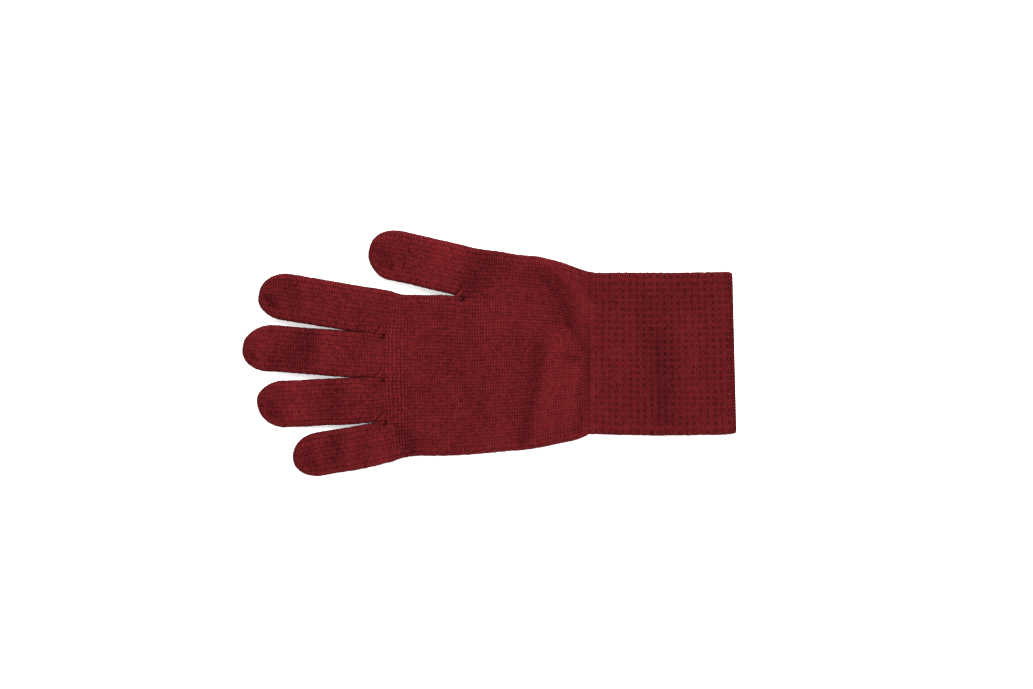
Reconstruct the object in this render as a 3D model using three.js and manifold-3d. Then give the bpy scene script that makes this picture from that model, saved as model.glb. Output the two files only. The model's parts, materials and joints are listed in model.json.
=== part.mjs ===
// A knitted five-finger glove lying flat, in millimetres, +Z up. The fingers point to -X, the thumb lies
// on the +Y side and the open end of the cuff faces +X. The glove is a soft tube: every stall is hollow
// and opens into the hand tube, which opens into the cuff. Where the fabric folds, the two parts meet
// on a cylinder about the fold line, so one can turn against the other.
import * as THREE from "three";
import { mergeVertices } from "three/addons/utils/BufferGeometryUtils.js";
import Module from "manifold-3d";

const wasm = await Module();
wasm.setup();

// ---- Driving dimensions ----
const THICK = 12; // the whole glove, from the table to its upper face
const MID = THICK / 2; // height of the fold lines
const WALL = 1.8; // one layer of plain knitting
const GAP = 0.3; // between pieces that touch in the fabric
const FOLD_R = 8.6; // the rounded end of a folding part, just over MID * sqrt(2)
const REACH = 60; // long enough for a cutter to pass right through any part
const BELT = 0.4; // the upright strip half way up a rounded edge

const CUFF = {
  wrist: 54.3, // where the ribbing starts
  end: 136, // the open edge
  width: 88, // between the rounded sides, ribs left out
  rib: 0.5, // how far a rib stands out
  ribs: 54, // round the whole cuff
  wall: 1.7, // behind the ribs
  welt: 3.1, // length of the cast-on edge
};
const ELASTIC = { count: 20, pitch: 3.82, size: 0.9, first: 58 }; // threads laid round inside the ribbing

// One stall: the middle of its root, its lean towards +Y from -X in degrees, its length, its half width
// at the root and where it is fullest, the sideways drift of its middle line, and its second fold.
// The four fingers fold on lines along Y, whatever their lean, so that they stay clear of each other.
// The thumb folds squarely across itself.
const STALLS = [
  { name: "index", root: [-56.35, 22.25], lean: 9.5, length: 71.7, base: 11.9, full: 12.6, drift: 0.5, fold: 36 },
  { name: "middle", root: [-58.4, -1.65], lean: 4.3, length: 77.8, base: 11.75, full: 12.5, drift: 0.3, fold: 38 },
  { name: "ring", root: [-57.75, -25.45], lean: -2.6, length: 70.3, base: 11.65, full: 12.4, drift: 0.1, fold: 35 },
  { name: "little", root: [-55.4, -48.9], lean: -9.1, length: 53.7, base: 11.15, full: 11.7, drift: 0.6, fold: 29 },
  { name: "thumb", root: [-11.5, 44.3], lean: 12.3, length: 56.4, base: 13.8, full: 13.4, drift: -0.8, fold: 31 },
];
const FIRST_FOLD = FOLD_R + GAP; // every stall folds this far beyond its root
const SEAT_MARGIN = { finger: 2, thumb: 0.8 }; // how much a seat in the hand tube clears its stall's sides
const TIP_LENGTH = 13.5; // a stall's rounded end

// The hand tube's outline, side by side, carried on past the fold lines and rounded there.
const LITTLE_SIDE = [
  [-66, -61.6], [-53.7, -59.5], [-43, -56.6], [-20, -56], [0, -54.7], [22.4, -52.7], [40, -49.4], [52, -45.8],
];
const WRIST_END = [[66, -43], [78, -30], [78, 30], [66, 43]];
const THUMB_SIDE = [
  [52, 46], [40, 50.2], [31.2, 52.4], [16, 53.8], [5, 50], [-6, 39], [-18, 31.9], [-40, 32], [-54.4, 34], [-66, 36],
];
const FINGER_END = [[-78, 28], [-80, 0], [-80, -30], [-78, -52]];
const HAND_REACH = -66; // nothing of the hand tube is left beyond this

// The bindings between the two layers, just inside each web between the stalls: name, x, y.
const WEBS = [
  ["web_index_middle", -54.4, 9.8],
  ["web_middle_ring", -55.6, -13.6],
  ["web_ring_little", -53.4, -37.2],
  ["web_thumb_index", -8.0, 29.6],
];
const WEB_SIZE = [2.6, 1.8];

const YARN = new THREE.Color(0x7b2229);
const plainKnit = new THREE.MeshStandardMaterial({ color: YARN, roughness: 0.95, metalness: 0 });
const ribKnit = new THREE.MeshStandardMaterial({ color: YARN, roughness: 0.97, metalness: 0 });
const binding = new THREE.MeshStandardMaterial({ color: 0x5c171d, roughness: 0.9, metalness: 0 });
const elastic = new THREE.MeshStandardMaterial({ color: 0x6b1e24, roughness: 0.7, metalness: 0 });

const glove = new THREE.Group();

// ---- Solids ----
function solid(geometry) {
  const bare = new THREE.BufferGeometry().setAttribute("position", geometry.getAttribute("position"));
  bare.setIndex(geometry.index);
  const merged = mergeVertices(bare, 1e-4);
  return new wasm.Manifold(
    new wasm.Mesh({
      numProp: 3,
      vertProperties: merged.attributes.position.array,
      triVerts: new Uint32Array(merged.index.array),
    }),
  );
}

function geometryOf(made) {
  const mesh = made.getMesh();
  const geometry = new THREE.BufferGeometry();
  geometry.setAttribute("position", new THREE.BufferAttribute(mesh.vertProperties, 3));
  geometry.setIndex(new THREE.BufferAttribute(mesh.triVerts, 1));
  geometry.computeVertexNormals();
  return geometry;
}

function addPiece(parent, name, geometry, material) {
  const mesh = new THREE.Mesh(geometry, material);
  mesh.name = name;
  parent.add(mesh);
  return mesh;
}

function smoothOutline(list, perSpan) {
  const curve = new THREE.CatmullRomCurve3(list.map(([x, y]) => new THREE.Vector3(x, y)), true);
  const around = curve.getPoints(list.length * perSpan).slice(1);
  return new THREE.Shape(around.map((p) => new THREE.Vector2(p.x, p.y)));
}

// A flat outline made as thick as the glove, with a round edge all the way along. An inset gives the
// hollow inside it.
function pillow(outline, inset, frame = new THREE.Matrix4()) {
  const edge = MID - inset;
  const geometry = new THREE.ExtrudeGeometry(outline, {
    depth: BELT,
    bevelThickness: edge - BELT / 2,
    bevelSize: edge,
    bevelOffset: -MID,
    bevelSegments: 3,
  });
  return solid(geometry.translate(0, 0, MID - BELT / 2).applyMatrix4(frame));
}

// A fold line crosses the part at x, half way up it, and is skewed by an angle about Z.
function foldLine(x, skew = 0) {
  return new THREE.Matrix4().makeRotationZ(skew).setPosition(x, 0, MID);
}

function block(x0, x1, width, frame) {
  const geometry = new THREE.BoxGeometry(x1 - x0, width, REACH).translate((x0 + x1) / 2, 0, 0);
  return solid(geometry.applyMatrix4(frame));
}

function roller(radius, width, frame) {
  return solid(new THREE.CylinderGeometry(radius, radius, width, 32).applyMatrix4(frame));
}

// What the part before a fold line gives up to the part after it.
function seat(fold, width) {
  return block(0, REACH, width, fold).add(roller(FOLD_R + GAP, width, fold));
}

// What the part after a fold line gives up, which leaves it a rounded end.
function roundedEnd(fold) {
  return block(-REACH, 0, 2 * REACH, fold).subtract(roller(FOLD_R, 3 * REACH, fold));
}

// ---- Stalls ----
// The outline in the stall's own frame: x from the root to the tip, y sideways.
function stallOutline({ length, base, full, drift }) {
  const rounded = (x, y, rx, ry, from) =>
    new THREE.EllipseCurve(x, y, rx, ry, from, from + Math.PI).getPoints(6).map((p) => [p.x, p.y]);
  const list = [
    ...rounded(length - TIP_LENGTH, drift, TIP_LENGTH, full, -Math.PI / 2),
    [20, drift + full],
    [8, base + 0.1],
    ...rounded(-2, 0, base, base, Math.PI / 2),
    [8, -base - 0.1],
    [20, drift - full],
  ];
  return smoothOutline(list, 2);
}

// The gathered stitches that close the end of the stall: a curved bead in a groove near its tip.
function tipBead({ length, drift }, radius) {
  const turn = new THREE.EllipseCurve(length - TIP_LENGTH, drift, 8.6, 8.4, 0.3, 1.25);
  const path = new THREE.CatmullRomCurve3(
    turn.getPoints(8).map((p) => new THREE.Vector3(p.x, p.y, THICK - 0.55)),
  );
  const section = new THREE.Shape().absarc(0, 0, radius, 0, 2 * Math.PI);
  return new THREE.ExtrudeGeometry(section, {
    extrudePath: path,
    steps: 6,
    bevelEnabled: false,
    curveSegments: 4,
  });
}

function foldSkew({ name, lean }) {
  return name === "thumb" ? 0 : THREE.MathUtils.degToRad(lean);
}

function addStall(stall) {
  const { name, root, lean, fold } = stall;
  const group = new THREE.Group();
  group.position.set(root[0], root[1], 0);
  group.rotation.z = Math.PI - THREE.MathUtils.degToRad(lean);
  group.updateMatrixWorld();
  glove.add(group);

  const first = foldLine(FIRST_FOLD, foldSkew(stall));
  const second = foldLine(fold, foldSkew(stall));
  const outline = stallOutline(stall);
  const tube = pillow(outline, 0).subtract(pillow(outline, WALL));
  const lower = tube.subtract(roundedEnd(first)).subtract(seat(second, REACH));
  const groove = solid(tipBead(stall, 0.5 + GAP));
  const upper = tube.subtract(roundedEnd(second)).subtract(groove);
  addPiece(group, `${name}_stall`, geometryOf(lower), plainKnit);
  addPiece(group, `${name}_tip`, geometryOf(upper), plainKnit);
  addPiece(group, `${name}_closing_stitches`, tipBead(stall, 0.5), binding);
  return group;
}

// ---- Hand tube ----
// The gusset that carries the thumb, in the thumb stall's frame.
function gussetOutline({ base }) {
  const ends = [[14, base - 0.6], [20, 0.5 * base], [20, -0.5 * base], [14, 0.6 - base]];
  const sides = [[0, -base], [-30, -base], [-38, 0], [-30, base], [0, base]];
  return smoothOutline([...ends, ...sides], 2);
}

function addHand(groups) {
  const outline = smoothOutline([...LITTLE_SIDE, ...WRIST_END, ...THUMB_SIDE, ...FINGER_END], 2);
  const gusset = gussetOutline(STALLS.find((stall) => stall.name === "thumb"));
  const layer = (inset) => pillow(outline, inset).add(pillow(gusset, inset, groups.thumb.matrixWorld));
  let hand = layer(0).subtract(layer(WALL));
  hand = hand.subtract(block(-REACH, 0, 3 * REACH, foldLine(HAND_REACH)));
  for (const stall of STALLS) {
    const margin = stall.name === "thumb" ? SEAT_MARGIN.thumb : SEAT_MARGIN.finger;
    const fold = foldLine(FIRST_FOLD, foldSkew(stall)).premultiply(groups[stall.name].matrixWorld);
    hand = hand.subtract(seat(fold, 2 * (stall.base + margin)));
  }
  hand = hand.subtract(seat(foldLine(wristFold()), 3 * REACH));
  addPiece(glove, "hand_tube", geometryOf(hand), plainKnit);

  const tall = THICK - 2 * (WALL + GAP);
  for (const [name, x, y] of WEBS) {
    const post = addPiece(glove, name, new THREE.BoxGeometry(...WEB_SIZE, tall), binding);
    post.position.set(x, y, MID);
  }
}

// ---- Cuff ----
function wristFold() {
  return CUFF.wrist + Math.sqrt(FOLD_R ** 2 - MID ** 2);
}

// A point on a flattened tube's section, s of the way round it and out from a core line by radius.
function onSection(s, radius) {
  const flat = CUFF.width - THICK;
  const around = 2 * flat + 2 * Math.PI * MID;
  const along = (s % 1) * around;
  const bend = Math.PI * MID;
  if (along < flat) return new THREE.Vector2(along - flat / 2, -radius);
  if (along < flat + bend) {
    const turn = (along - flat) / MID - Math.PI / 2;
    return new THREE.Vector2(flat / 2 + radius * Math.cos(turn), radius * Math.sin(turn));
  }
  if (along < 2 * flat + bend) return new THREE.Vector2(flat / 2 - (along - flat - bend), radius);
  const turn = (along - 2 * flat - bend) / MID + Math.PI / 2;
  return new THREE.Vector2(-flat / 2 + radius * Math.cos(turn), radius * Math.sin(turn));
}

// The same section with just enough points: the two flats and a few steps round each side.
function smoothSection(radius) {
  const flat = CUFF.width - THICK;
  const bend = Math.PI * MID;
  const around = 2 * (flat + bend);
  const steps = 6;
  const side = (from) => Array.from({ length: steps + 1 }, (_, i) => (from + (bend * i) / steps) / around);
  return [...side(flat), ...side(2 * flat + bend)].map((s) => onSection(s, radius));
}

function ribbedSection() {
  const outer = MID;
  const inner = MID - CUFF.rib;
  const rib = [[0, inner], [0.18, outer], [0.52, outer], [0.7, inner]];
  return Array.from({ length: CUFF.ribs }, (_, i) =>
    rib.map(([at, radius]) => onSection((i + at) / CUFF.ribs, radius)),
  ).flat();
}

// A ring with that section, running along X from x0 to x1.
function ring(outerPoints, innerPoints, x0, x1, bevel = 0) {
  const shape = new THREE.Shape(outerPoints);
  shape.holes.push(new THREE.Path(innerPoints));
  const geometry = new THREE.ExtrudeGeometry(shape, {
    depth: x1 - x0 - 2 * bevel,
    bevelEnabled: bevel > 0,
    bevelThickness: bevel,
    bevelSize: bevel,
    bevelOffset: -bevel,
    bevelSegments: 2,
  });
  return geometry.rotateX(Math.PI / 2).rotateZ(Math.PI / 2).translate(x0 + bevel, 0, MID);
}

function addCuff() {
  const inside = MID - CUFF.rib - CUFF.wall;
  const weltStart = CUFF.end - CUFF.welt;
  const tube = solid(
    ring(ribbedSection(), smoothSection(inside), CUFF.wrist - MID, weltStart - GAP),
  );
  const cuff = tube.subtract(roundedEnd(foldLine(wristFold())));
  addPiece(glove, "cuff_ribbing", geometryOf(cuff), ribKnit);

  const welt = ring(smoothSection(MID), smoothSection(inside), weltStart, CUFF.end, 0.8);
  addPiece(glove, "cuff_cast_on_edge", welt, ribKnit);

  const outer = smoothSection(inside - GAP);
  const inner = smoothSection(inside - GAP - ELASTIC.size);
  for (let i = 0; i < ELASTIC.count; i++) {
    const x = ELASTIC.first + i * ELASTIC.pitch;
    const name = `elastic_thread_${String(i + 1).padStart(2, "0")}`;
    addPiece(glove, name, ring(outer, inner, x, x + ELASTIC.size), elastic);
  }
}

// ---- Assembly ----
const groups = Object.fromEntries(STALLS.map((stall) => [stall.name, addStall(stall)]));
addHand(groups);
addCuff();

export default glove;
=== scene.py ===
"""A wine-red knitted glove lying flat: plain knitting for the hand, elasticated rib for the cuff.

Lengths are in millimetres while a shape is worked out, and in metres once it is a mesh. Every knitted
piece is a grid of points on a flattened tube. The grid's columns go round the tube, up the face and
back along the underside, and its rows run towards the fingertips, which turns the faces outwards. The
columns count wales, the lines of stitches along the tube, and the rows count courses, the lines across
it. Each stitch raises the grid into the two slanting legs of its loop.
"""

import json
import math

import bpy
import numpy as np
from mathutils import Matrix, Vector


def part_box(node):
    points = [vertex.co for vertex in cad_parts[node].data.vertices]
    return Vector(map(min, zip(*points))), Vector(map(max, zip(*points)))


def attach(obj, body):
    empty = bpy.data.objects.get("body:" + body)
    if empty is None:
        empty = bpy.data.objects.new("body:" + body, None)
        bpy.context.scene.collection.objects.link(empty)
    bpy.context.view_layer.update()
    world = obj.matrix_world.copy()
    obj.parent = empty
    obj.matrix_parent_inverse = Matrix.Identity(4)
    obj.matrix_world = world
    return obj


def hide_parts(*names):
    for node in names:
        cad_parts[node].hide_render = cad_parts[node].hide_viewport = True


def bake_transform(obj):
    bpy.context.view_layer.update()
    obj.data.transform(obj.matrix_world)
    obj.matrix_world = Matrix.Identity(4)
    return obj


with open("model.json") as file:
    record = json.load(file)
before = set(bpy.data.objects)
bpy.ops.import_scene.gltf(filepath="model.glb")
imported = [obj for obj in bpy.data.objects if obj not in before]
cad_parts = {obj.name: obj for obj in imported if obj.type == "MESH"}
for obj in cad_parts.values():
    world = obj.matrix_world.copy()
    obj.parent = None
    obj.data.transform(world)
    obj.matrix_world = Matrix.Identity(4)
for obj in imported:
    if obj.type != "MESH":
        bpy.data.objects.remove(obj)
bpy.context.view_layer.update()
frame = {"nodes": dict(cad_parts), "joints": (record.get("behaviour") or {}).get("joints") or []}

MM = 0.001

# ---- Driving dimensions, in millimetres ----
COURSE = 1.36  # height of one row of stitches
ACROSS = 6  # grid steps across one stitch
ALONG = 5  # grid steps along one stitch
LOOP = 0.6  # from the groove between two stitches to their crest
MIDDLE = 5.4  # height of the glove's side edges
UNDER = 0.75  # height of the underside's grooves, whose stitches reach down to the table
HAND_TOP = 10.2  # height of the upper face's grooves
FINGER_TOP = 9.9
SIDE = 5.0  # how far in from a side edge the glove reaches its full thickness
SQUARE = 3.2  # how square the side edges are, 2 being round
SIDE_SHARE = 1.16  # length of knitting that goes into a side edge, as a share of SIDE
ROOT_TO_FOLD = 8.9  # every stall folds this far beyond its root
TIP_ROUND = 15.0  # length of a stall's rounded end, seen from above
TIP_DROP = 6.0  # length over which a stall's upper face comes down at its tip
TIP_ARC = 1.45 * TIP_DROP  # length of the knitting that goes down over the tip
TO_FULL = 22.0  # length over which a stall reaches its full width
CLOSING_IN = 13.5  # how far in from the very tip the closing stitches' curve has its centre
CLOSING_RADIUS = 8.5
CLOSING_ANGLES = (0.45, 1.15)  # where that curve starts and ends, in radians from straight ahead
FACE_BLEND = 3.5  # height above the side edges over which the folds reach their full size

# The web points between the stalls, from the little finger's outer side to the index finger's.
ROOTS = np.array([(-53.7, -59.8), (-57.1, -37.3), (-58.4, -13.6), (-58.4, 10.3), (-54.5, 34.2)])
THUMB_ROOTS = np.array([(-14.4, 30.9), (-8.6, 58.2)])
WRIST_X = 54.3
PALM_COURSES = 29
HEEL_COURSES = 51

# The hand's two side edges, as (x, y) from the fingers to the wrist.
LITTLE_EDGE = np.array([
    (-53.7, -59.8), (-48, -57.7), (-43, -56.7), (-30, -56.5), (-13, -56),
    (0, -54.8), (22, -52.7), (40, -49.4), (48.8, -47.2), (54.3, -44.9),
])
INDEX_EDGE = np.array([(-54.5, 34.2), (-49, 32.7), (-39, 32.0), (-26, 31.9), (-14.4, 30.9)])
THUMB_EDGE = np.array([
    (-8.6, 58.2), (0, 56.8), (14, 54.6), (31, 52.4), (40, 50.2), (48.8, 46.9), (54.3, 45.0),
])

# Wales on one face, half widths at the root and at the fullest, drift of the middle line to the +Y
# side, how far the very tip leans to that side, and half the length of the bend at the second fold.
FINGERS = {
    "little": {"wales": 11, "base": 11.6, "full": 11.7, "drift": -0.5, "lean": -0.8, "bend": 7.0},
    "ring": {"wales": 12, "base": 12.0, "full": 12.6, "drift": 0.0, "lean": 1.2, "bend": 8.5},
    "middle": {"wales": 12, "base": 12.0, "full": 12.5, "drift": -0.3, "lean": -1.0, "bend": 8.5},
    "index": {"wales": 12, "base": 12.0, "full": 12.6, "drift": -0.5, "lean": -0.9, "bend": 8.5},
    "thumb": {"wales": 13, "base": 13.9, "full": 13.6, "drift": 0.8, "lean": 0.6, "bend": 8.5},
}
FINGER_ORDER = ["little", "ring", "middle", "index"]
SPLIT = 11.0  # each stall is knitted in two pieces, which meet this far beyond its first fold

CUFF = {
    "ribs": 26,  # on one face
    "half": 44.2,  # half width between the side edges
    "top": 9.9,
    "under": 1.15,
    "side": 5.0,
    "rise": 1.0,  # from the deepest pit to a rib's crest
    "inner": 3.6,  # half height of the hollow
    "lining_start": 62.0,  # where the inner face starts, at its deep end
    "end": 133.0,  # where the cast-on edge starts
    "under_hand": 2.4,  # length of the first rows, which lie under the end of the hand
    "under_edge": 0.8,  # length of the last rows, which lie under the cast-on edge
    "roll_top": 4.95,  # the cast-on edge's height above the middle of the cuff
    "roll_reach": 1.9,  # how far the cast-on edge stands out from where it starts
    "courses_per_elastic": 3,
}
RIB_ACROSS = 10  # grid steps across one rib
RIB_ALONG = 5  # grid steps along one course of the rib
ROLL_ACROSS = 10  # grid steps across one rib at the cast-on edge
LINING_ACROSS = 4  # grid steps across one rib of the inner face

# Soft creases and swellings of the upper face: height, half width, and the line that each follows.
# Through the dip attribute they also paint shade into the yarn's colour in the creases, and painted light
# onto the swellings.
FOLDS = [
    # the thumb
    (-2.0, 7.2, [(-1, 55), (-4, 46), (-10, 38)]),
    (-0.5, 3.0, [(-11, 37), (-17, 31)]),
    (0.8, 6.5, [(-27, 54), (-31, 42)]),
    (-0.5, 5.0, [(-45, 60), (-48, 48)]),
    # the index finger
    (-1.3, 4.5, [(-110, 38), (-108, 26)]),
    (0.5, 3.5, [(-102, 35), (-100, 22)]),
    (-0.4, 5.0, [(-70, 24), (-70, 16)]),
    # the middle finger
    (-2.5, 7.0, [(-102, 9), (-104, 2), (-106, -4)]),
    (-1.0, 4.5, [(-112, -3), (-119, -7)]),
    (0.8, 6.5, [(-126, 10), (-128, 2)]),
    (0.7, 4.5, [(-91, 9), (-91, -8)]),
    # the ring finger
    (-1.6, 7.0, [(-88, -18), (-87, -26), (-88, -34)]),
    (0.9, 5.5, [(-107, -20), (-107, -33)]),
    (0.4, 5.0, [(-72, -18), (-72, -34)]),
    # the little finger
    (-1.8, 5.0, [(-86, -49), (-86, -57)]),
    (0.5, 3.5, [(-77, -44), (-77, -60)]),
    (0.9, 5.0, [(-62, -44), (-60, -56)]),
    # from the little finger's web to the side edge
    (-1.9, 5.2, [(-48, -45), (-45, -50), (-43, -57)]),
    # the palm
    (-0.6, 3.5, [(-20, -10), (-12, -24), (-2, -38)]),
    (-0.6, 5.0, [(-48, -16), (-46, -24)]),
    (-0.4, 5.0, [(-10, 24), (-10, 14)]),
    (0.5, 6.0, [(-25, -48), (-20, -38)]),
    # the ball of the thumb
    (-1.0, 4.5, [(19, 41), (27, 41)]),
    (-0.7, 3.0, [(24, 47), (30, 42)]),
    (-1.8, 5.0, [(35, 37), (40, 28), (42, 18)]),
    (1.0, 3.6, [(31, 51), (42, 41), (50, 30), (55, 19)]),
    (-1.0, 2.3, [(44, 14), (50, 7), (53, 0), (53, -8)]),
    (0.7, 2.3, [(56, 26), (57, 4), (57, -14), (56, -42)]),
    # the swelling in front of the wrist
    (0.8, 5.2, [(37, 8), (34, -5), (33, -18), (29, -38)]),
    (0.9, 5.5, [(46, -12), (43, -34)]),
    (-1.7, 3.6, [(27, 2), (26, -8), (23, -22), (21, -33), (18, -48)]),
    (-0.5, 6.0, [(19, 2), (17, -14), (11, -32)]),
    (-0.8, 2.2, [(43, -2), (49, -4)]),
    (-1.0, 2.4, [(53, -12), (51, -26), (48, -42)]),
    # the cuff
    (-1.9, 7.0, [(93, 5), (95, -10), (96, -34)]),
    (-0.7, 7.0, [(80, 32), (86, 14)]),
    (-0.4, 5.0, [(100, 40), (130, 38)]),
    (0.5, 6.0, [(109, 14), (109, -28)]),
]
DIP_PAINTED_SHADE = 0.17  # painted shade and light: how much darker the yarn is painted for each millimetre of dip, and how much lighter for each millimetre of swelling

# The end of each stall is drawn together: how deep, how wide, and along which line.
GATHERS = [
    (1.8, 3.6, [(-60, 54), (-57, 49)]),
    (1.7, 3.2, [(-121, 29), (-119, 27)]),
    (0.4, 2.0, [(-131, -1), (-130, -4)]),
    (1.2, 2.8, [(-121, -28), (-118, -33), (-116, -35)]),
    (1.2, 2.6, [(-101, -57), (-98, -61), (-96, -64)]),
]

# Behind each web point there is a hole, and a rolled edge runs up over the web with a crease beside
# it, on the fingers' side. All are (x, y) from the web point, and the roll has a height too.
WEB_HOLE = [(-0.9, -2.2), (-0.2, -1.0)]
WEB_ROLL = [(-5.6, -0.2, -3.6), (-4.2, 0.1, -1.2), (-2.7, 1.1, 0.0), (-1.5, 2.5, 0.3), (-0.7, 4.2, -0.3)]
WEB_CREASE = [(-5.2, 0.6), (-3.4, 1.7), (-2.3, 3.2), (-1.7, 4.6)]
HOLE_DEPTH, HOLE_WIDTH = 3.0, 0.85
CREASE_DEPTH, CREASE_WIDTH = 1.2, 0.6
PITS_PER_STALL = 8  # small holes beside the closing stitches
PIT_DEPTH, PIT_WIDTH = 0.8, 0.55
# Neighbouring stalls lie against each other up to the first distance, and part by the second, for
# each two fingers from the little one.
TOUCH = [(2.0, 8.5), (7.5, 14.0), (8.5, 15.5)]
TOUCH_SIDE = 1.8  # SIDE where stalls lie against each other

# ---- Curves and noise ----


def through(points, x):
    """The smooth curve y(x) through a list of points in order of x."""
    xs, ys = points[:, 0], points[:, 1]
    slope = np.gradient(ys, xs)
    i = np.clip(np.searchsorted(xs, x, side="right") - 1, 0, len(xs) - 2)
    step = xs[i + 1] - xs[i]
    t = np.clip((x - xs[i]) / step, 0, 1)
    a, b = ys[i], ys[i + 1]
    low = (1 + 2 * t) * (1 - t) ** 2 * a + t * (1 - t) ** 2 * step * slope[i]
    high = t * t * (3 - 2 * t) * b + t * t * (t - 1) * step * slope[i + 1]
    return low + high


def ramp(x, low, high):
    """0 below low, 1 above high, and a smooth step between."""
    t = np.clip((x - low) / (high - low), 0, 1)
    return t * t * (3 - 2 * t)


def line_distance(x, y, line):
    """Distance from points to a broken line."""
    best = np.full(np.shape(x), 1e9)
    for (ax, ay), (bx, by) in zip(line, line[1:]):
        dx, dy = bx - ax, by - ay
        t = np.clip(((x - ax) * dx + (y - ay) * dy) / (dx * dx + dy * dy), 0, 1)
        best = np.minimum(best, np.hypot(x - ax - t * dx, y - ay - t * dy))
    return best


def bump(distance, width):
    return np.exp(-((distance / width) ** 2))


def waves(x, y, length, seed):
    """Smooth random ground, about -1 to 1, made of waves of about that length."""
    rng = np.random.default_rng(seed)
    total = np.zeros(np.shape(x))
    for _ in range(9):
        angle = rng.uniform(0, 2 * math.pi)
        k = 2 * math.pi / (length * rng.uniform(0.7, 1.5))
        total += np.sin(k * (x * math.cos(angle) + y * math.sin(angle)) + rng.uniform(0, 2 * math.pi))
    return total / 5


def scatter(a, b):
    """A number from 0 to 1 that looks random, and is the same wherever a and b are the same."""
    n = np.sin(a * 12.9898 + b * 78.233) * 43758.5453
    return n - np.floor(n)


# ---- Folds ----


def finger_frame(name):
    """A stall's root, its direction, its direction to +Y, and its length, from the CAD frame."""
    joints = {j["name"]: np.array(j["pos_m"][:2]) / MM for j in frame["joints"]}
    first, second = joints[f"{name}_root_fold"], joints[f"{name}_middle_fold"]
    ahead = (second - first) / np.linalg.norm(second - first)
    side = np.array([ahead[1], -ahead[0]])
    root = first - ahead * ROOT_TO_FOLD
    tip = frame["nodes"][f"{name}_tip"].data.vertices
    length = max(np.dot(np.array(v.co[:2]) / MM - root, ahead) for v in tip)
    return root, ahead, side, length


def closing_line(name, count):
    """The curve near a stall's tip where its end is gathered and closed."""
    root, ahead, side, length = finger_frame(name)
    angle = np.linspace(*CLOSING_ANGLES, count)[:, None]
    centre = root + (length - CLOSING_IN) * ahead
    return centre + CLOSING_RADIUS * (np.cos(angle) * ahead - np.sin(angle) * side)


def closing_pits():
    """Small holes on both sides of each row of closing stitches."""
    rng = np.random.default_rng(11)
    pits = []
    for name in FINGERS:
        line = closing_line(name, PITS_PER_STALL)
        across = np.gradient(line, axis=0)[:, ::-1] * (-1, 1)
        across /= np.linalg.norm(across, axis=1, keepdims=True)
        way = np.where(np.arange(PITS_PER_STALL) % 2, 1, -1)[:, None]
        away = rng.uniform(0.5, 1.1, (PITS_PER_STALL, 1))
        pits.extend(line + across * way * away + rng.uniform(-0.3, 0.3, (PITS_PER_STALL, 2)))
    return pits


CLOSING_PITS = closing_pits()


def dips(x, y):
    """Height of the folds, gathers and web holes at a place on the upper face. The same height paints
    shade into the yarn's colour in the dips, and painted light on the swellings.
    """
    height = np.zeros(np.shape(x))
    for size, width, line in FOLDS:
        height = height + size * bump(line_distance(x, y, line), width)
    for depth, width, line in GATHERS:
        height = height - depth * bump(line_distance(x, y, line), width)
    for web in [*ROOTS[1:-1], THUMB_ROOTS[0]]:
        hole = line_distance(x - web[0], y - web[1], WEB_HOLE)
        crease = line_distance(x - web[0], y - web[1], WEB_CREASE)
        height = height - HOLE_DEPTH * bump(hole, HOLE_WIDTH) - CREASE_DEPTH * bump(crease, CREASE_WIDTH)
    return height


def folds(x, y):
    """The dips, with the knitting's own unevenness and the pits beside the closing stitches."""
    height = dips(x, y) + 0.22 * waves(x, y, 26, 3) + 0.1 * waves(x, y, 10, 4)
    for px, py in CLOSING_PITS:
        height = height - PIT_DEPTH * bump(np.hypot(x - px, y - py), PIT_WIDTH)
    return height


def wobbled(points):
    """Knitting never runs quite straight."""
    out = points.copy()
    x, y = points[..., 0], points[..., 1]
    out[..., 0] += 0.2 * waves(x, y, 17, 5) + 0.09 * waves(x, y, 4.5, 7)
    out[..., 1] += 0.2 * waves(x, y, 17, 6) + 0.09 * waves(x, y, 4.5, 8)
    return out


# ---- Stitches ----


def plain_stitch(wale, course):
    """Height of plain knitting, from 0 in the grooves to 1 at the crests: every stitch is a V of two
    slanting legs, which meet in a shallow crease."""
    m = np.abs(wale - np.floor(wale) - 0.5) * 2
    phase = course - 0.6 * m + 0.2 * scatter(np.floor(wale), 0.5)
    leg = (1 - 0.7 * m**4) * (1 - 0.25 * bump(m, 0.16))
    bead = 0.5 + 0.5 * np.cos(2 * math.pi * phase)
    uneven = 0.45 + 0.7 * scatter(np.floor(wale * 2), np.floor(phase + 0.5))
    return leg * (0.12 + 0.88 * bead * uneven)


def rib_stitch(rib, course, beat):
    """Height of one-by-one rib: a line of raised stitches along each rib, and the backs of the loops
    between the ribs. An elastic thread at every whole beat pulls pits between the ribs."""
    m = np.abs(rib - np.floor(rib) - 0.5) * 2
    phase = course - 0.5 * m + 0.35 * scatter(np.floor(rib), 0.5)
    knit = np.clip(1 - (m / 0.56) ** 2, 0, 1) * (0.5 + 0.5 * np.cos(2 * math.pi * phase))
    knit *= 1 - 0.2 * bump(m, 0.1)
    loops = course + 0.5 + 0.5 * (1 - m) + 0.35 * scatter(np.floor(rib + 0.5), 0.25)
    purl = np.clip(1 - ((1 - m) / 0.56) ** 2, 0, 1) * (0.5 + 0.5 * np.cos(2 * math.pi * loops))
    one = scatter(np.floor(rib), np.floor(phase + 0.5))
    two = scatter(np.floor(rib + 0.5) + 0.5, np.floor(loops + 0.5))
    deep = 0.3 + 0.7 * scatter(np.round(rib), np.round(beat))
    pit = np.exp(-(((m - 1) / 0.3) ** 2) - ((beat - np.round(beat)) / 0.14) ** 2) * deep
    height = 0.24 + knit * (0.42 + 0.45 * one) + purl * (0.26 + 0.4 * two)
    return height - 0.05 * bump(beat - np.round(beat), 0.17) - 0.6 * pit


# ---- Grids ----

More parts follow.
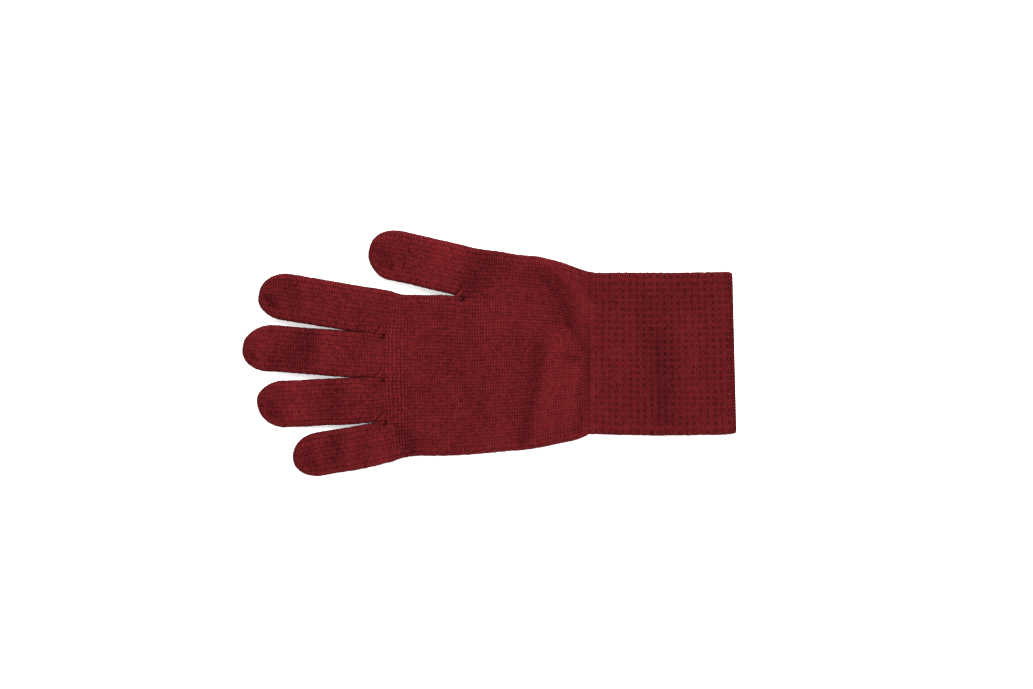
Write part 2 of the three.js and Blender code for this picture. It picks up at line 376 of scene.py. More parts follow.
quarter_turn = np.linspace(0, math.pi / 2, 400)
SIDE_Y = 1 - np.cos(quarter_turn) ** (2 / SQUARE)
SIDE_Z = np.sin(quarter_turn) ** (2 / SQUARE)
side_steps = np.hypot(np.diff(SIDE_Y), np.diff(SIDE_Z))
SIDE_S = np.concatenate([[0], np.cumsum(side_steps)]) / np.sum(side_steps)


def section(half, count, low_side=SIDE, high_side=SIDE):
    """The upper half of a flattened tube's section with count points: y from -half to half, and the
    height as a share of the full one. half may be one number or a column of them, one for each row,
    and so may the widths of the two rounded sides."""
    half = np.asarray(half, float)
    low_side, high_side = np.minimum(low_side, half), np.minimum(high_side, half)
    low_arc, high_arc = SIDE_SHARE * low_side, SIDE_SHARE * high_side
    total = low_arc + high_arc + 2 * half - low_side - high_side
    s = np.linspace(0, 1, count) * total
    low_part, high_part = np.clip(s / low_arc, 0, 1), np.clip((total - s) / high_arc, 0, 1)
    from_low = low_side * np.interp(low_part, SIDE_S, SIDE_Y) + np.maximum(s - low_arc, 0)
    from_high = high_side * np.interp(high_part, SIDE_S, SIDE_Y) + np.maximum(total - s - high_arc, 0)
    share = np.interp(low_part, SIDE_S, SIDE_Z) * np.interp(high_part, SIDE_S, SIDE_Z)
    return np.where(high_part >= 1, from_low - half, half - from_high), share


def between(left, right, half_y, half):
    """Plan positions across a tube, from its left edge to its right edge."""
    share = (half_y / half + 1) / 2
    return left[..., None, :] + (right - left)[..., None, :] * share[..., None]


def closed_grid(plan, share, top, under):
    """Both faces of a tube as one grid, whose columns go round it."""
    upper = np.concatenate([plan, (MIDDLE + share * (top - MIDDLE))[..., None]], axis=-1)
    lower = np.concatenate([plan, (MIDDLE + share * (under - MIDDLE))[..., None]], axis=-1)
    return np.concatenate([upper, lower[:, ::-1][:, 1:-1]], axis=1)


def raised(points, relief, amount):
    """A closed grid with its folds and its stitches worked into the points."""
    out = wobbled(points)
    upper = np.clip((points[..., 2] - MIDDLE) / FACE_BLEND, 0, 1)
    out[..., 2] += folds(points[..., 0], points[..., 1]) * upper
    along = np.gradient(out, axis=0)
    across = np.roll(out, -1, axis=1) - np.roll(out, 1, axis=1)
    normal = np.cross(across, along)
    normal /= np.maximum(np.linalg.norm(normal, axis=2, keepdims=True), 1e-9)
    # the stitches lie flatter round the side edges
    amount = amount * np.clip(np.abs(points[..., 2] - MIDDLE) / 2.5, 0.5, 1)
    return out + normal * (amount * relief)[..., None]


def knitted(name, points, wale, course, relief, material, slot, closed=False, tip=False):
    """A piece from a grid of points. wale and course are the stitch counts of its columns and rows,
    and relief is the stitch height at each point. A tip is closed with a fan at its last row."""
    rows, columns = points.shape[:2]
    r, c = np.meshgrid(np.arange(rows - 1), np.arange(columns if closed else columns - 1), indexing="ij")
    after = (c + 1) % columns
    corners = [r * columns + c, r * columns + after, (r + 1) * columns + after, (r + 1) * columns + c]
    faces = np.stack(corners, axis=-1).reshape(-1, 4)
    wale = np.append(wale, 2 * wale[-1] - wale[-2])
    u = np.stack([wale[c], wale[c + 1], wale[c + 1], wale[c]], axis=-1).ravel()
    v = np.stack([course[r], course[r], course[r + 1], course[r + 1]], axis=-1).ravel()
    places, heights = points.reshape(-1, 3), relief.ravel()
    loops, starts = faces.ravel(), np.arange(0, faces.size, 4)
    if tip:
        ring = (rows - 1) * columns + np.arange(columns)
        fan = np.stack([ring, np.roll(ring, -1), np.full(columns, rows * columns)], axis=-1)
        places = np.concatenate([places, points[-1].mean(axis=0, keepdims=True)])
        heights = np.append(heights, heights[-1])
        starts = np.concatenate([starts, faces.size + np.arange(0, fan.size, 3)])
        loops = np.concatenate([loops, fan.ravel()])
        u = np.concatenate([u, np.repeat(wale[:columns], 3)])
        v = np.concatenate([v, np.full(fan.size, course[-1])])
    mesh = bpy.data.meshes.new(name)
    mesh.vertices.add(len(places))
    mesh.vertices.foreach_set("co", (places * MM).astype(np.float32).ravel())
    mesh.loops.add(len(loops))
    mesh.loops.foreach_set("vertex_index", loops.astype(np.int32))
    mesh.polygons.add(len(starts))
    mesh.polygons.foreach_set("loop_start", starts.astype(np.int32))
    mesh.update(calc_edges=True)
    mesh.polygons.foreach_set("use_smooth", np.ones(len(starts), bool))
    layer = mesh.uv_layers.new(name="stitches")
    layer.data.foreach_set("uv", np.stack([u, v], axis=-1).astype(np.float32).ravel())
    # relief also sets the colour: the grooves between stitches are painted darker than the crests, as
    # painted shade
    upper = np.clip((places[:, 2] - MIDDLE) / FACE_BLEND, 0, 1)
    # dip paints shade into the colour of the folds, gathers and web holes, and painted light onto the
    # swellings
    for key, value in (("relief", heights), ("dip", dips(places[:, 0], places[:, 1]) * upper)):
        mesh.attributes.new(key, "FLOAT", "POINT").data.foreach_set("value", value.astype(np.float32))
    mesh.materials.append(material)
    piece = bpy.data.objects.new(name, mesh)
    bpy.context.scene.collection.objects.link(piece)
    return piece


def two_faces(name, grid, wale, course, relief, material, slot):
    """A closed grid as two pieces, one for its upper face and one for its lower face."""
    middle = grid.shape[1] // 2
    around = np.arange(grid.shape[1] + 1)
    made = []
    for face, columns in (("upper", around[: middle + 1]), ("lower", around[middle:])):
        columns = columns % grid.shape[1]
        count = wale[: len(columns)]
        args = (count, course, relief[:, columns], material, slot)
        made.append(knitted(f"{name}_{face}", grid[:, columns], *args))
    return made


# ---- Materials ----


def yarn_material(name, groove, crest, twist=3.0):
    """Brushed yarn: painted shade makes it darker where the stitches dip, and it is mottled, with the
    plies' twist and loose fibres. The painted shade makes the stitches stand out more in the folds, and
    less where the knitting swells or turns down."""
    material = bpy.data.materials.new(name)
    material.use_nodes = True
    nodes, links = material.node_tree.nodes, material.node_tree.links
    shader = nodes["Principled BSDF"]
    shader.inputs["Roughness"].default_value = 0.95
    shader.inputs["Specular IOR Level"].default_value = 0.02
    shader.inputs["Sheen Weight"].default_value = 0.06
    shader.inputs["Sheen Roughness"].default_value = 0.5
    shader.inputs["Sheen Tint"].default_value = (0.7, 0.1, 0.12, 1)

    def noise(scale, detail):
        made = nodes.new("ShaderNodeTexNoise")
        made.inputs["Scale"].default_value = scale
        made.inputs["Detail"].default_value = detail
        links.new(place.outputs["Object"], made.inputs["Vector"])
        return made.outputs[0]

    def maths(operation, a, b=0.0):
        made = nodes.new("ShaderNodeMath")
        made.operation = operation
        for socket, value in zip(made.inputs, (a, b)):
            if isinstance(value, (int, float)):
                socket.default_value = value
            else:
                links.new(value, socket)
        return made.outputs[0]

    def around_zero(value, size):
        return maths("MULTIPLY", maths("SUBTRACT", value, 0.5), size)

    def attribute(key):
        made = nodes.new("ShaderNodeAttribute")
        made.attribute_name = key
        return made.outputs["Fac"]

    place = nodes.new("ShaderNodeTexCoord")
    hairs = noise(6500, 2)
    fibres = noise(2400, 3)
    mottle = noise(420, 3)
    patches = noise(45, 2)

    # the twist of the plies runs across each leg of a stitch
    split = nodes.new("ShaderNodeSeparateXYZ")
    links.new(place.outputs["UV"], split.inputs[0])
    leg = maths("ABSOLUTE", maths("SUBTRACT", maths("FRACT", split.outputs[0]), 0.5))
    turns = maths("ADD", maths("MULTIPLY", split.outputs[1], twist), maths("MULTIPLY", leg, 3.1 * twist))
    ply = maths("SINE", maths("MULTIPLY", turns, 2 * math.pi))

    # painted shade: the grooves between stitches get a darker colour, more so in the folds and less on
    # the swellings
    fold_shade_contrast = maths("SUBTRACT", 1.15, maths("MULTIPLY", attribute("dip"), 0.3))
    groove_shade_and_mottle = maths("MULTIPLY", maths("SUBTRACT", attribute("relief"), 0.4), fold_shade_contrast)
    groove_shade_and_mottle = maths("ADD", maths("ADD", groove_shade_and_mottle, 0.4), around_zero(fibres, 1.5))
    groove_shade_and_mottle = maths("ADD", groove_shade_and_mottle, around_zero(hairs, 0.8))
    groove_shade_and_mottle = maths("ADD", groove_shade_and_mottle, around_zero(mottle, 0.55))
    groove_shade_and_mottle = maths("ADD", groove_shade_and_mottle, around_zero(patches, 0.25))
    groove_shade_and_mottle = maths("ADD", groove_shade_and_mottle, maths("MULTIPLY", ply, 0.05))
    # painted shade: the groove colour where the stitches are low, the crest colour where they are high,
    # mixed with random mottle
    colours = nodes.new("ShaderNodeValToRGB")
    low, high = colours.color_ramp.elements
    low.color, low.position = (*groove, 1), 0.0
    high.color, high.position = (*crest, 1), 1.0
    links.new(groove_shade_and_mottle, colours.inputs[0])
    # painted shade in the folds, gathers and web holes, and painted light on the swellings: the colour is
    # scaled by the fold's height
    painted_fold_shade = nodes.new("ShaderNodeVectorMath")
    painted_fold_shade.operation = "SCALE"
    links.new(colours.outputs[0], painted_fold_shade.inputs[0])
    links.new(maths("ADD", 1.0, maths("MULTIPLY", attribute("dip"), DIP_PAINTED_SHADE)), painted_fold_shade.inputs["Scale"])
    links.new(painted_fold_shade.outputs[0], shader.inputs["Base Color"])

    grain = nodes.new("ShaderNodeBump")
    grain.inputs["Strength"].default_value = 0.8
    grain.inputs["Distance"].default_value = 0.0003
    height = maths("ADD", fibres, maths("MULTIPLY", hairs, 0.6))
    links.new(maths("ADD", height, maths("MULTIPLY", ply, 0.12)), grain.inputs["Height"])
    links.new(grain.outputs[0], shader.inputs["Normal"])
    return material


# each yarn's first colour is the painted shade of its grooves between stitches, the second the colour of
# its crests
plain = yarn_material("plain_knit", (0.0195, 0.0015, 0.0020), (0.125, 0.0096, 0.0119))
rib = yarn_material("rib_knit", (0.0200, 0.0017, 0.0022), (0.1045, 0.0080, 0.0097))
binding = yarn_material("binding_yarn", (0.012, 0.0010, 0.0015), (0.060, 0.0045, 0.0058))
rolled = yarn_material("rolled_knit", (0.045, 0.0035, 0.0045), (0.100, 0.0076, 0.0095))
elastic = yarn_material("elastic_yarn", (0.022, 0.0022, 0.0028), (0.070, 0.0060, 0.0072))

# ---- The stalls ----

root_rows = {}  # the row of points where each stall leaves the hand, for the hand to share
upper_points = {}  # the points of each stall's upper face


def neighbour(name, step):
    """The direction halfway between a finger's own and its neighbour's, and over which distance from
    their web the two part. None if there is no neighbour on that side."""
    place = FINGER_ORDER.index(name) + step if name in FINGER_ORDER else -1
    if not 0 <= place < len(FINGER_ORDER):
        return None
    both = finger_frame(name)[1] + finger_frame(FINGER_ORDER[place])[1]
    return both / np.linalg.norm(both), TOUCH[min(place, place - step)]


def side_width(found, u):
    """How wide a stall's rounded side is, at a distance u from its root."""
    touching = 0 if found is None else 1 - ramp(u, *found[1])
    return SIDE + (TOUCH_SIDE - SIDE) * touching + 0 * u


def build_finger(name):
    """One stall, as a tube from its root to its closed tip, cut in two where it folds at its middle."""
    spec = FINGERS[name]
    root, ahead, side, length = finger_frame(name)
    if name == "thumb":
        low, high = THUMB_ROOTS
    else:
        low, high = ROOTS[FINGER_ORDER.index(name):][:2]
    straight = length - TIP_DROP
    rows = int(round((straight + TIP_ARC) / COURSE)) * ALONG + 1
    s = np.linspace(0, straight + TIP_ARC, rows)
    turn = np.clip((s - straight) / TIP_ARC, 0, 0.985) * math.pi / 2
    u = np.minimum(s, straight) + TIP_DROP * np.sin(turn)

    inset = np.clip((u - (length - TIP_ROUND)) / TIP_ROUND, 0, 1)
    full = spec["base"] + (spec["full"] - spec["base"]) * ramp(u, 0, TO_FULL)
    half = full * np.sqrt(np.maximum(1 - inset**2, 0)) + 0.15
    middle = spec["drift"] * ramp(u, 0, TO_FULL) + spec["lean"] * inset**1.5
    axis = root + u[:, None] * ahead
    left = axis + (middle - half)[:, None] * side
    right = axis + (middle + half)[:, None] * side
    # the first row runs from web to web, and the stall lies against its neighbours for a while
    sides = []
    for edge, web, step in ((left, low, -1), (right, high, 1)):
        found = neighbour(name, step)
        sides.append(side_width(found, u)[:, None])
        if found is None:
            edge += (web - edge[0]) * (1 - ramp(u, 0, 14))[:, None]
        else:
            direction, parting = found
            free = ramp(u, *parting)[:, None]
            touching = web + u[:, None] * direction - 0.05 * step * ramp(u, 0, 3)[:, None] * side
            edge[:] = free * edge + (1 - free) * touching

    count = spec["wales"] * ACROSS + 1
    width = np.linalg.norm(right - left, axis=1)[:, None] / 2
    y, share = section(width, count, *sides)
    top = HAND_TOP + (FINGER_TOP - HAND_TOP) * ramp(u, 0, 20)[:, None]
    grid = closed_grid(between(left, right, y, width), share * np.cos(turn)[:, None], top, UNDER)

    around = np.arange(grid.shape[1]) / ACROSS
    course = -np.arange(rows) / ALONG
    relief = plain_stitch(around[None, :], course[:, None])
    points = raised(grid, relief * np.clip(half / 5, 0.2, 1)[:, None], LOOP)
    root_rows[name] = points[0]
    upper_points[name] = points[:, :count]

    split = int(round((ROOT_TO_FOLD + SPLIT) / COURSE)) * ALONG
    lower_body, upper_body, bend = f"{name}_lower", f"{name}_upper", spec["bend"]
    for part, cut, bodies, joint, before, after in (
        ("stall", slice(0, split + 1), ("hand", lower_body), f"{name}_root_fold", 6.0, 8.5),
        ("tip", slice(split, rows), (lower_body, upper_body), f"{name}_middle_fold", bend, bend),
    ):
        args = (around, course[cut], relief[cut], plain, "plain_knit")
        piece = knitted(f"{name}_{part}_knit", points[cut], *args, closed=True, tip=part == "tip")
        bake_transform(piece)
        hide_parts(f"{name}_{part}")


# ---- The hand ----


def hand_length(left, right, start_plan, start_share, plan_reach, share_reach):
    """A length of the hand between two side edges. It starts as the given row, where stalls meet side
    by side, and turns into one plain flattened tube."""
    half = np.linalg.norm(right - left, axis=1)[:, None] / 2
    y, share = section(half, len(start_share))
    plan = between(left, right, y, half)
    reach = np.linalg.norm((left + right) / 2 - (left[0] + right[0]) / 2, axis=1)
    plan = plan + (start_plan - plan[0]) * (1 - ramp(reach, 0, plan_reach))[:, None, None]
    share = share + (start_share - share[0]) * np.exp(-((reach / share_reach) ** 1.5))[:, None]
    return plan, share


def edge_points(edge, x0, x1, rows):
    """A side edge's points, one for each row between x0 and x1."""
    x = np.linspace(x0, x1, rows)
    return np.stack([x, through(edge, x)], axis=1)


def lower_columns(columns, total):
    """The columns of a closed grid that lie under the given columns of its upper face."""
    return (total - columns) % total


def share_row(grid_row, first, wales, stall_row):
    """Gives a row of the hand exactly the points of the stall that starts there."""
    own = np.arange(wales * ACROSS + 1)
    columns = first + own
    grid_row[columns] = stall_row[own]
    grid_row[lower_columns(columns, len(grid_row))] = stall_row[lower_columns(own, len(stall_row))]


def stall_section(name, low, high):
    """The row where a stall leaves the hand."""
    half = np.linalg.norm(high - low) / 2
    sides = [float(side_width(neighbour(name, step), 0.0)) for step in (-1, 1)]
    y, share = section(half, FINGERS[name]["wales"] * ACROSS + 1, *sides)
    return between(low, high, y, half), share


def build_hand():
    """The hand as two lengths of one tube: the palm, and the heel that the thumb joins."""
    # the palm, from the four fingers' roots to the thumb's
    wales = [FINGERS[name]["wales"] for name in FINGER_ORDER]
    rows = PALM_COURSES * ALONG + 1
    left = edge_points(LITTLE_EDGE, LITTLE_EDGE[0, 0], THUMB_ROOTS[0, 0], rows)
    right = edge_points(INDEX_EDGE, INDEX_EDGE[0, 0], THUMB_ROOTS[0, 0], rows)
    sections = [stall_section(*args) for args in zip(FINGER_ORDER, ROOTS, ROOTS[1:])]
    start_plan = np.concatenate([sections[0][0][:1], *[plan[1:] for plan, _ in sections]])
    start_share = np.concatenate([sections[0][1][:1], *[share[1:] for _, share in sections]])
    palm_plan, palm_share = hand_length(left, right, start_plan, start_share, 9, 1.8)
    grid = closed_grid(palm_plan, palm_share, HAND_TOP, UNDER)[::-1]
    around = np.arange(grid.shape[1]) / ACROSS
    course = np.arange(rows)[::-1] / ALONG
    relief = plain_stitch(around[None, :], course[:, None])
    palm = raised(grid, relief, LOOP)
    first = 0
    for name, count in zip(FINGER_ORDER, wales):
        share_row(palm[-1], first, count, root_rows[name])
        first += count * ACROSS
    args = (around, course, relief, plain, "plain_knit")
    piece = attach(knitted("palm_knit", palm, *args, closed=True), "hand")
    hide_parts("hand_tube")

    # the heel, from the thumb's root to the wrist
    rows = HEEL_COURSES * ALONG + 1
    left = edge_points(LITTLE_EDGE, THUMB_ROOTS[0, 0], WRIST_X, rows)
    right = edge_points(THUMB_EDGE, THUMB_ROOTS[1, 0], WRIST_X, rows)
    thumb_plan, thumb_share = stall_section("thumb", *THUMB_ROOTS)
    start_plan = np.concatenate([palm_plan[-1], thumb_plan[1:]])
    start_share = np.concatenate([palm_share[-1], thumb_share[1:]])
    plan, share = hand_length(left, right, start_plan, start_share, 24, 4.0)
    top = HAND_TOP - 0.3 * ramp(left[:, :1], 48, WRIST_X)  # the cuff pulls the hand's end in
    grid = closed_grid(plan, share, top, UNDER)[::-1]
    around = np.arange(grid.shape[1] + 1) / ACROSS
    course = np.arange(rows)[::-1] / ALONG + PALM_COURSES
    relief = plain_stitch(around[None, :-1], course[:, None])
    heel = raised(grid, relief, LOOP)
    share_row(heel[-1], 0, sum(wales), palm[0])
    share_row(heel[-1], first, FINGERS["thumb"]["wales"], root_rows["thumb"])
    for piece in two_faces("heel_knit", heel, around, course, relief, plain, "plain_knit"):
        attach(piece, "hand")


# ---- The cuff ----

threads = [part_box(f"elastic_thread_{i:02d}") for i in range(1, 21)]
THREAD_X = [(low.x + high.x) / 2 / MM for low, high in threads]
THREAD_PITCH = (THREAD_X[-1] - THREAD_X[0]) / (len(THREAD_X) - 1)


def bend_at_wrist(piece):
    """Bakes the piece's placement into its mesh."""
    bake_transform(piece)


def cuff_edges(x):
    """The two side edges of the cuff. The lower one bellies out a little and both end a little full."""
    low = -CUFF["half"] - 0.9 * np.sin(math.pi * np.clip((x - 54) / 82, 0, 1))
    high = CUFF["half"] + 0.4 * ramp(x, 108, 124) + 0.7 * (1 - ramp(x, WRIST_X, WRIST_X + 5))
    return np.stack([x, low], axis=-1), np.stack([x, high], axis=-1)


def slanted(points):
    """The open end of the cuff isn't quite square."""
    out = points.copy()
    out[..., 0] -= 1.1 * points[..., 1] / CUFF["half"] * ramp(points[..., 0], WRIST_X, CUFF["end"])
    return out


def build_cuff():
    """The outer face of the ribbing, which goes in under the hand and under the cast-on edge."""
    start, end = WRIST_X - CUFF["under_hand"], CUFF["end"] + CUFF["under_edge"]
    per_elastic = CUFF["courses_per_elastic"]
    steps = (end - start) / THREAD_PITCH * per_elastic * RIB_ALONG
    x = np.linspace(start, end, int(round(steps)) + 1)
    left, right = cuff_edges(x)
    half = np.linalg.norm(right - left, axis=1)[:, None] / 2
    y, share = section(half, CUFF["ribs"] * RIB_ACROSS + 1, CUFF["side"], CUFF["side"])
    # the first rows go in under the end of the hand, and the last ones turn in at the cast-on edge
    tuck = 0.90 + 0.06 * ramp(x, start, WRIST_X - 0.9) + 0.04 * ramp(x, WRIST_X - 0.9, WRIST_X + 2.1)
    tuck = tuck - 0.10 * ramp(x, CUFF["end"] - 1.5, end)
    plan = between(left, right, y, half)
    grid = slanted(closed_grid(plan, share * tuck[:, None], CUFF["top"], CUFF["under"]))[::-1]
    around = np.arange(grid.shape[1] + 1) / RIB_ACROSS
    beat = (x[::-1] - THREAD_X[0]) / THREAD_PITCH
    course = beat[:, None] * per_elastic
    ribbed = rib_stitch(around[None, :-1], course, beat[:, None])
    # the plain knitting turns into rib over the first few rows
    settled = ramp(x[::-1], WRIST_X, WRIST_X + 4)[:, None]
    relief = settled * ribbed + (1 - settled) * plain_stitch(around[None, :-1] * 2, course)
    cuff = raised(grid, relief, CUFF["rise"])
    pieces = two_faces("cuff_rib", cuff, around * 2, beat * per_elastic, relief, rib, "rib_knit")
    for piece in pieces:
        bend_at_wrist(piece)
        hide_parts("cuff_ribbing")


def loop_section(x, rise, inset, count):
    """A closed loop round the cuff at x, rise above and below its middle, and inset from its sides."""
    left, right = cuff_edges(np.asarray(x, float))
    half = (right - left)[..., 1:] / 2 - inset
    y, share = section(half, count // 2 + 1, CUFF["side"], CUFF["side"])
    centre = (right + left)[..., 1:] / 2
    mid = (CUFF["top"] + CUFF["rise"] / 2 + CUFF["under"] - CUFF["rise"] / 2) / 2
    plan = np.stack([np.broadcast_to(np.asarray(x, float)[..., None], y.shape), centre + y], axis=-1)
    z = share * np.asarray(rise, float)[..., None]
    upper = np.concatenate([plan, (mid + z)[..., None]], axis=-1)
    lower = np.concatenate([plan, (mid - z)[..., None]], axis=-1)
    return slanted(np.concatenate([upper, lower[..., ::-1, :][..., 1:-1, :]], axis=-2))


def build_lining():
    """The inner face of the ribbing, seen through the open end."""
    start = CUFF["lining_start"]
    x = np.linspace(CUFF["end"] + 0.6, start, 150)
    rise = CUFF["inner"] + 0.7 * ramp(-x, -start - 5, -start)
    count = CUFF["ribs"] * LINING_ACROSS * 2
    grid = loop_section(x, rise, 1.7 * np.ones((len(x), 1)), count)
    around = np.arange(count) / LINING_ACROSS
    beat = (x - THREAD_X[0]) / THREAD_PITCH
    course = beat * CUFF["courses_per_elastic"]
    relief = rib_stitch(around[None, :], course[:, None], beat[:, None])
    inward = grid.copy()
    middle = grid.mean(axis=1, keepdims=True)
    pull = np.clip(relief - 0.5, -0.5, 0.5)[..., None] * 0.5
    inward[..., 2:] -= np.sign(grid[..., 2:] - middle[..., 2:]) * pull
    args = (around * 2, course, relief[:, ::-1], rib, "rib_knit")
    piece = knitted("cuff_inner_rib", inward[:, ::-1], *args, closed=True)
    bend_at_wrist(piece)
    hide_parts("cuff_ribbing")


def build_cast_on_edge():
    """The thick first row, rolled from the outer face over to the inner one."""
    turn = np.linspace(0, math.pi, 15)
    count = CUFF["ribs"] * ROLL_ACROSS * 2
    outer, inner = CUFF["roll_top"], CUFF["inner"]
    centre, radius = (outer + inner) / 2, (outer - inner) / 2
    x = CUFF["end"] + CUFF["roll_reach"] * np.sin(turn) ** 0.9
    rise = centre + radius * np.cos(turn)
    # its first rows come up out of the ribbing
    x = np.concatenate([[x[0] - 1.0, x[0] - 0.5], x])
    rise = np.concatenate([[outer - 1.2, outer - 0.25], rise])
    turn = np.concatenate([[-0.6, -0.3], turn])
    inset = ((outer - rise) * 1.15)[:, None]
    grid = loop_section(x, rise, inset, count)[::-1]
    around = np.arange(count) / ROLL_ACROSS
    relief = 0.25 + 0.2 * np.sin(2 * math.pi * (2 * around[None, :] + turn[::-1, None] / 2.2))
    along = np.gradient(grid, axis=0)
    across = np.roll(grid, -1, axis=1) - np.roll(grid, 1, axis=1)
    normal = np.cross(across, along)
    normal /= np.linalg.norm(normal, axis=2, keepdims=True)
    grid = grid + normal * (0.42 * relief)[..., None]
    args = (around * 2, turn[::-1], relief, rib, "rib_knit")
    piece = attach(knitted("cuff_cast_on_roll", grid, *args, closed=True), "cuff")
    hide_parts("cuff_cast_on_edge")


# ---- Small yarns ----


def yarn_tube(path, radius, sides, closed):
    """A round yarn along a path: its points as a grid, rows along the path."""
    ahead = np.roll(path, -1, axis=0) - np.roll(path, 1, axis=0) if closed else np.gradient(path, axis=0)
    ahead = ahead / np.linalg.norm(ahead, axis=1, keepdims=True)
    up = np.cross(ahead, [0.31, 0.17, 0.93])
    up = up / np.linalg.norm(up, axis=1, keepdims=True)
    across = np.cross(ahead, up)
    angle = np.arange(sides) * 2 * math.pi / sides
    ring = np.cos(angle)[None, :, None] * up[:, None] + np.sin(angle)[None, :, None] * across[:, None]
    size = np.broadcast_to(radius, len(path))[:, None, None]
    return path[:, None, :] + ring * size


def yarn_piece(name, tubes, material, closed):
    """One piece from several yarn tubes of the same size."""
    places, faces = [], []
    rows, sides = tubes[0].shape[:2]
    r, c = np.meshgrid(np.arange(rows if closed else rows - 1), np.arange(sides), indexing="ij")
    next_r, next_c = (r + 1) % rows, (c + 1) % sides
    quads = [r * sides + c, r * sides + next_c, next_r * sides + next_c, next_r * sides + c]
    quads = np.stack(quads, axis=-1).reshape(-1, 4)
    caps = [] if closed else [list(range(sides))[::-1], [(rows - 1) * sides + i for i in range(sides)]]
    for index, tube in enumerate(tubes):
        offset = index * rows * sides
        places.append(tube.reshape(-1, 3))
        faces.extend((quads + offset).tolist())
        faces.extend([[i + offset for i in cap] for cap in caps])
    mesh = bpy.data.meshes.new(name)
    mesh.from_pydata((np.concatenate(places) * MM).tolist(), [], faces)
    mesh.polygons.foreach_set("use_smooth", np.ones(len(mesh.polygons), bool))
    corner = np.zeros(len(mesh.loops), np.int32)
    mesh.loops.foreach_get("vertex_index", corner)
    layer = mesh.uv_layers.new(name="stitches")
    uv = np.stack([(corner % sides) / sides, corner // sides / 6.0], axis=-1)
    layer.data.foreach_set("uv", uv.astype(np.float32).ravel())
    shade = mesh.attributes.new("relief", "FLOAT", "POINT")
    shade.data.foreach_set("value", np.full(len(mesh.vertices), 0.5, np.float32))
    mesh.materials.append(material)
    piece = bpy.data.objects.new(name, mesh)
    bpy.context.scene.collection.objects.link(piece)
    return piece


def overcast(line, turns, reach, radius):
    """Stitches wound over a line: a coil of yarn round it."""
    count = turns * 14 + 1
    t = np.linspace(0, len(line) - 1, count)
    core = np.stack([np.interp(t, np.arange(len(line)), line[:, k]) for k in range(3)], axis=-1)
    ahead = np.gradient(core, axis=0)
    ahead /= np.linalg.norm(ahead, axis=1, keepdims=True)
    side = np.cross(ahead, [0, 0, 1.0])
    up = np.cross(side, ahead)
    angle = np.linspace(0, turns * 2 * math.pi, count)[:, None]
    return yarn_tube(core + reach * (np.cos(angle) * side + np.sin(angle) * up), radius, 7, False)


def twisted(path, tube, strands, turns, depth):
    """The tube with the grooves between its twisted strands."""
    rows, sides = tube.shape[:2]
    angle = np.arange(sides)[None, :] * 2 * math.pi / sides
    turn = np.linspace(0, turns * 2 * math.pi, rows)[:, None]
    groove = 1 - depth * (0.5 - 0.5 * np.cos(strands * (angle + turn)))
    return path[:, None, :] + (tube - path[:, None, :]) * groove[..., None]


def surface_height(points, x, y):
    """Height of the nearest point of a grid."""
    flat = points.reshape(-1, 3)
    return flat[np.argmin((flat[:, 0] - x) ** 2 + (flat[:, 1] - y) ** 2), 2]


def build_closings():
    """The coil of yarn that closes each stall near its tip."""
    for name in FINGERS:
        line = closing_line(name, 9)
        z = [surface_height(upper_points[name], x, y) - 0.2 for x, y in line]
        coil = overcast(np.column_stack([line, z]), 5, 0.55, 0.24)
        piece = yarn_piece(f"{name}_closing_yarn", [coil], binding, False)
        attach(piece, f"{name}_upper")
        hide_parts(f"{name}_closing_stitches")


def build_webs():
    """The rolled edge over each web, as a short twisted cord that thins out at both ends."""
    webs = {"web_ring_little": ROOTS[1], "web_middle_ring": ROOTS[2], "web_index_middle": ROOTS[3]}
    webs["web_thumb_index"] = THUMB_ROOTS[0]
    t = np.linspace(0, len(WEB_ROLL) - 1, 41)
    for node, place in webs.items():
        roll = np.array(WEB_ROLL)
        smooth = [np.interp(t, np.arange(len(roll)), roll[:, k]) for k in range(3)]
        for _ in range(30):
            smooth = [np.concatenate([v[:1], (v[:-2] + 2 * v[1:-1] + v[2:]) / 4, v[-1:]]) for v in smooth]
        path = np.column_stack([place[0] + smooth[0], place[1] + smooth[1], HAND_TOP + smooth[2]])
        taper = 0.3 + 0.65 * np.sin(math.pi * np.linspace(0.04, 0.96, len(path))) ** 0.6
        tube = yarn_tube(path, taper, 16, False)
        cord = twisted(path, tube, strands=3, turns=3.2, depth=0.16)
        piece = yarn_piece(f"{node}_roll", [cord], rolled, False)
        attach(piece, "hand")
        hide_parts(node)


def build_elastic():
    """The elastic threads, as rings inside the ribbing."""
    tubes = []
    for x in THREAD_X:
        loop = loop_section(np.array([x]), np.array([CUFF["inner"] - 0.45]), np.array([[2.2]]), 156)[0]
        tubes.append(yarn_tube(loop, 0.4, 7, True))
    piece = yarn_piece("cuff_elastic_yarn", tubes, elastic, True)
    bend_at_wrist(piece)
    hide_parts(*[f"elastic_thread_{i:02d}" for i in range(1, len(THREAD_X) + 1)])


for finger in FINGERS:
    build_finger(finger)
build_hand()
build_cuff()
build_lining()
build_cast_on_edge()
build_closings()
build_webs()
build_elastic()

# ---- Stage, light and camera ----


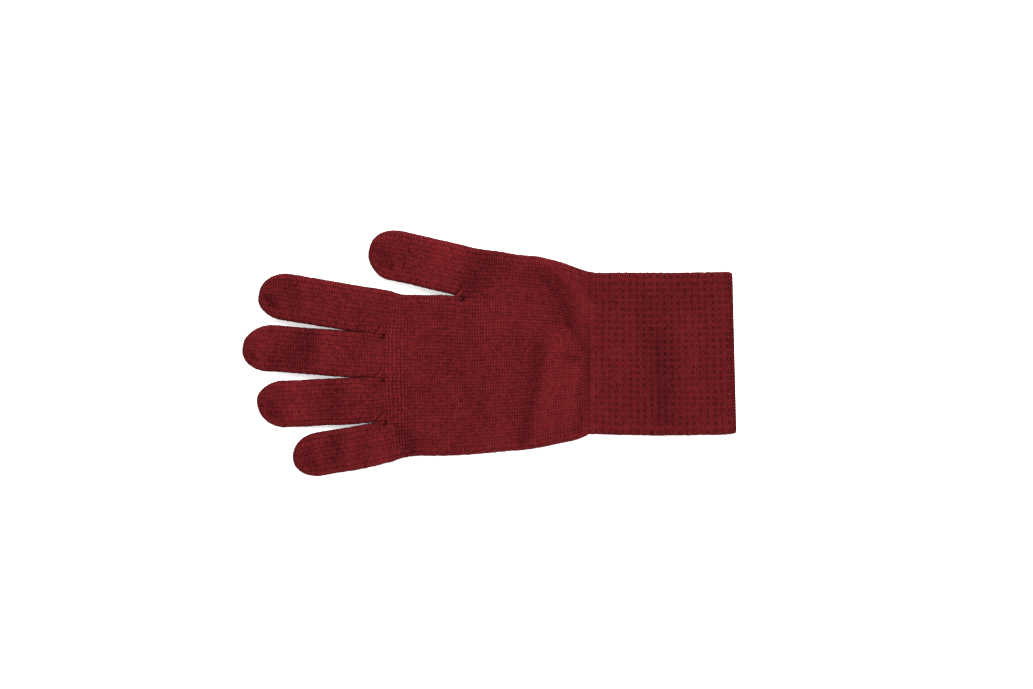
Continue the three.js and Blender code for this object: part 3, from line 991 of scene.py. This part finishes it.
def build_stage():
    bpy.ops.mesh.primitive_plane_add(size=8)
    floor = bpy.context.object
    floor.name = "floor"
    material = bpy.data.materials.new("pale_floor")
    material.use_nodes = True
    nodes, links = material.node_tree.nodes, material.node_tree.links
    shader = nodes["Principled BSDF"]
    shader.inputs["Roughness"].default_value = 0.8
    shader.inputs["Specular IOR Level"].default_value = 0.2
    shader.inputs["Emission Color"].default_value = (1, 1, 1, 1)
    shader.inputs["Emission Strength"].default_value = 0.45
    noise = nodes.new("ShaderNodeTexNoise")
    noise.inputs["Scale"].default_value = 6
    tint = nodes.new("ShaderNodeValToRGB")
    tint.color_ramp.elements[0].color = (0.93, 0.93, 0.93, 1)
    tint.color_ramp.elements[1].color = (0.96, 0.96, 0.96, 1)
    links.new(noise.outputs[0], tint.inputs[0])
    links.new(tint.outputs[0], shader.inputs["Base Color"])
    floor.data.materials.append(material)


def area_light(name, place, energy, size):
    data = bpy.data.lights.new(name, "AREA")
    data.shape = "SQUARE"
    data.size = size
    data.energy = energy
    light = bpy.data.objects.new(name, data)
    light.location = place
    light.rotation_euler = Vector(place).to_track_quat("Z", "Y").to_euler()
    bpy.context.scene.collection.objects.link(light)


def build_light():
    world = bpy.data.worlds.new("studio")
    bpy.context.scene.world = world
    world.use_nodes = True
    background = world.node_tree.nodes["Background"]
    background.inputs["Color"].default_value = (1, 1, 1, 1)
    background.inputs["Strength"].default_value = 1.5
    area_light("key", (0.42, 0.38, 1.05), 26, 0.3)
    bpy.context.scene.view_settings.view_transform = "Standard"


def build_camera():
    """Straight above the glove, far enough up for the photo's own view width."""
    data = bpy.data.cameras.new("camera")
    data.lens = 85
    data.sensor_width = 36
    camera = bpy.data.objects.new("camera", data)
    view_width = 0.568
    distance = view_width / 2 / (data.sensor_width / 2 / data.lens)
    camera.location = (0.015, 0.0048, distance + 0.010)
    bpy.context.scene.collection.objects.link(camera)
    bpy.context.scene.camera = camera


build_stage()
build_light()
build_camera()

bpy.context.view_layer.update()
